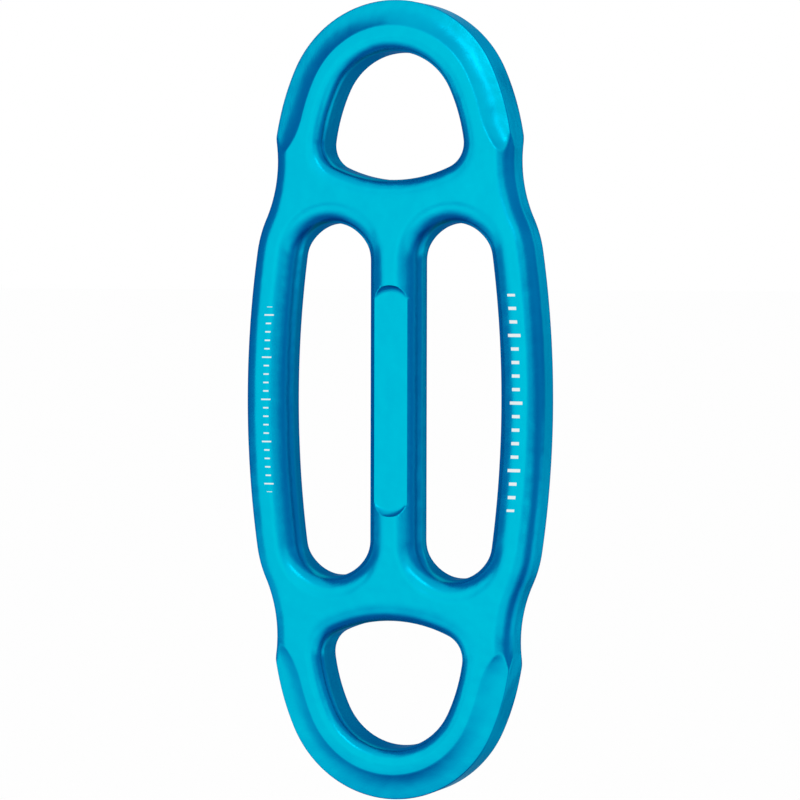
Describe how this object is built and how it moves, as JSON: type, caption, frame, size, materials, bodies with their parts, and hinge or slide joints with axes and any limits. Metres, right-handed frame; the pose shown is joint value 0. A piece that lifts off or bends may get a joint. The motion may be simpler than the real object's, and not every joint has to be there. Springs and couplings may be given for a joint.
{
  "type": "belay plate",
  "caption": "Forged belay and abseil plate with a carabiner eye at each end and long rope slots side by side beside a round middle bar.",
  "frame": {"origin": "centre of the plate's bounding box, in the middle of the round bar between the slots", "axes": "+X across the plate, +Y through it from the front face to the back face, +Z along it towards the upper eye"},
  "size_m": [0.0598, 0.01, 0.15],
  "materials": {
    "anodised_alloy": "satin sky-blue anodising over a fine blasted surface"
  },
  "bodies": {
    "root": {"plate": "anodised_alloy"}
  },
  "joints": []
}
